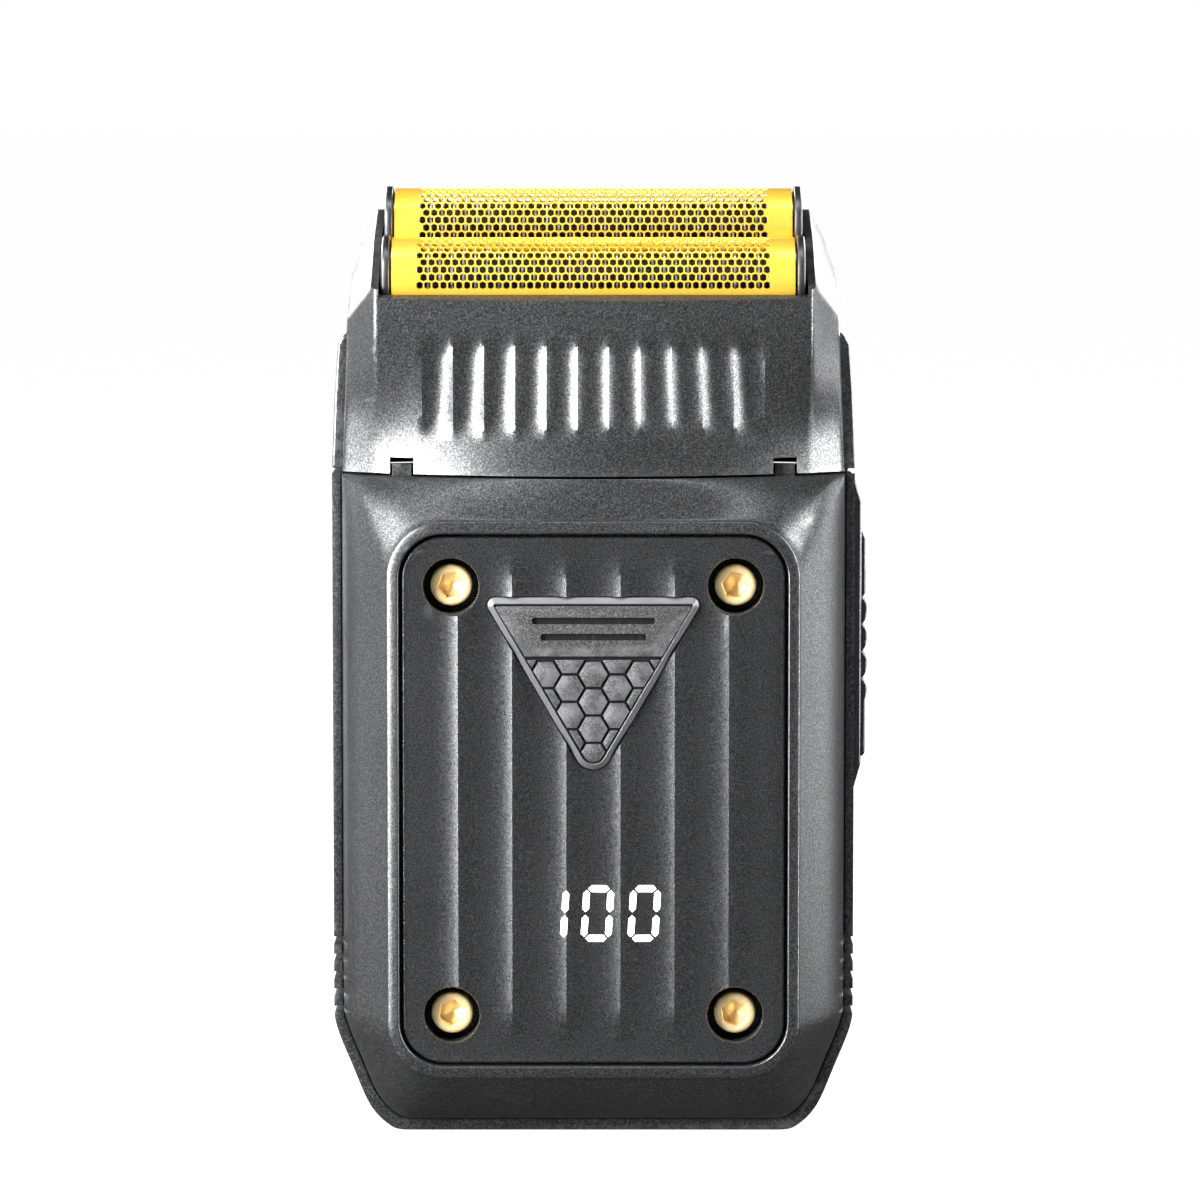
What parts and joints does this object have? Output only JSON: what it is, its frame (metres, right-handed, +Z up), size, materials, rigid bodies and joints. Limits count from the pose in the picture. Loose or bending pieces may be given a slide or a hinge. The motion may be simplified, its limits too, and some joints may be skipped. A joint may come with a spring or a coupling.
{
  "type": "foil shaver",
  "caption": "Cordless double foil shaver with tilted lift-off head, floating foils over oscillating cutters, side power slider and fluted front panel with a charge display.",
  "frame": {"origin": "centre of the flat base that the shaver stands on, midway between its sides", "axes": "+Z up from the base to the foils, +X to the right seen from the front, front panel faces -Y"},
  "size_m": [0.0638, 0.0335, 0.1129],
  "materials": {
    "shell_paint": "fine textured matte gunmetal",
    "panel_paint": "fine textured satin gunmetal",
    "badge_gloss": "gloss dark grey",
    "switch_gloss": "gloss black",
    "lit_lens": "lit white light guide",
    "white_plastic": "natural white moulding",
    "gold_screw": "bright gold plated",
    "steel": "plain steel",
    "blade_steel": "ground steel",
    "motor_can": "plated can",
    "board_green": "solder mask green",
    "black_plastic": "black moulding",
    "cell_wrap": "blue shrink wrap",
    "seal_rubber": "soft black rubber",
    "gold_foil": "gold titanium nitride coated foil",
    "cap_metal": "dark satin metal"
  },
  "bodies": {
    "body": {"rear_shell": "shell_paint", "front_shell": "shell_paint", "front_panel": "panel_paint", "badge": "badge_gloss", "display_lens": "lit_lens", "display_module": "white_plastic", "panel_screw_1": "gold_screw", "panel_screw_2": "gold_screw", "panel_screw_3": "gold_screw", "panel_screw_4": "gold_screw", "rear_screw_1": "steel", "rear_screw_2": "steel", "rear_screw_3": "steel", "rear_screw_4": "steel", "main_board": "board_green", "chassis": "black_plastic", "battery": "cell_wrap", "battery_tab_low": "steel", "battery_tab_high": "steel", "motor_case": "motor_can", "motor_bracket": "white_plastic", "charge_port": "steel", "charge_board": "board_green", "charge_light": "lit_lens", "top_deck": "black_plastic", "seal_ring": "seal_rubber", "switch_base": "switch_gloss", "power_switch": "black_plastic", "vent_screen_left": "black_plastic", "vent_screen_right": "black_plastic"},
    "rotor": {"motor_shaft": "steel", "eccentric": "white_plastic"},
    "drive": {"oscillator": "white_plastic"},
    "slider": {"switch_slider": "switch_gloss"},
    "head": {"head_shell": "shell_paint", "foil_carrier": "black_plastic", "foil_spring_front_left": "steel", "foil_spring_front_right": "steel", "foil_spring_rear_left": "steel", "foil_spring_rear_right": "steel", "button_spring_left": "steel", "button_spring_right": "steel"},
    "front_foil": {"foil_front": "gold_foil", "foil_cap_front_left": "cap_metal", "foil_cap_front_right": "cap_metal"},
    "rear_foil": {"foil_rear": "gold_foil", "foil_cap_rear_left": "cap_metal", "foil_cap_rear_right": "cap_metal"},
    "front_cutter": {"cutter_front": "blade_steel"},
    "rear_cutter": {"cutter_rear": "blade_steel"},
    "left_button": {"release_button_left": "shell_paint"},
    "right_button": {"release_button_right": "shell_paint"}
  },
  "joints": [
    {"name": "head_lift", "type": "slide", "parent": "body", "child": "head", "axis": [0, 0, 1], "range_m": [0, 0.03]},
    {"name": "front_foil_float", "type": "slide", "parent": "head", "child": "front_foil", "axis": [0, -0.4478, 0.8942], "range_m": [-0.0012, 0], "stiffness_N_per_m": 600, "springref_m": 0.0006, "deforming": ["foil_spring_front_left", "foil_spring_front_right"]},
    {"name": "rear_foil_float", "type": "slide", "parent": "head", "child": "rear_foil", "axis": [0, -0.4478, 0.8942], "range_m": [-0.0012, 0], "stiffness_N_per_m": 600, "springref_m": 0.0006, "deforming": ["foil_spring_rear_left", "foil_spring_rear_right"]},
    {"name": "drive_stroke", "type": "slide", "parent": "body", "child": "drive", "axis": [1, 0, 0], "range_m": [-0.001, 0.001], "stiffness_N_per_m": 200},
    {"name": "front_cutter_stroke", "type": "slide", "parent": "front_foil", "child": "front_cutter", "axis": [1, 0, 0], "range_m": [-0.001, 0.001]},
    {"name": "rear_cutter_stroke", "type": "slide", "parent": "rear_foil", "child": "rear_cutter", "axis": [1, 0, 0], "range_m": [-0.001, 0.001]},
    {"name": "motor_spin", "type": "hinge", "parent": "body", "child": "rotor", "pos_m": [0, 0.001, 0.0755], "axis": [0, 0, 1], "continuous": true},
    {"name": "power_slide", "type": "slide", "parent": "body", "child": "slider", "axis": [0, 0, 1], "range_m": [0, 0.0035]},
    {"name": "left_release", "type": "slide", "parent": "head", "child": "left_button", "axis": [1, 0, 0], "range_m": [0, 0.001], "stiffness_N_per_m": 800, "springref_m": -0.0004, "deforming": ["button_spring_left"]},
    {"name": "right_release", "type": "slide", "parent": "head", "child": "right_button", "axis": [-1, 0, 0], "range_m": [0, 0.001], "stiffness_N_per_m": 800, "springref_m": -0.0004, "deforming": ["button_spring_right"]}
  ],
  "couplings": [
    {"joint": "front_cutter_stroke", "follows": "drive_stroke", "ratio": 1},
    {"joint": "rear_cutter_stroke", "follows": "drive_stroke", "ratio": 1}
  ]
}
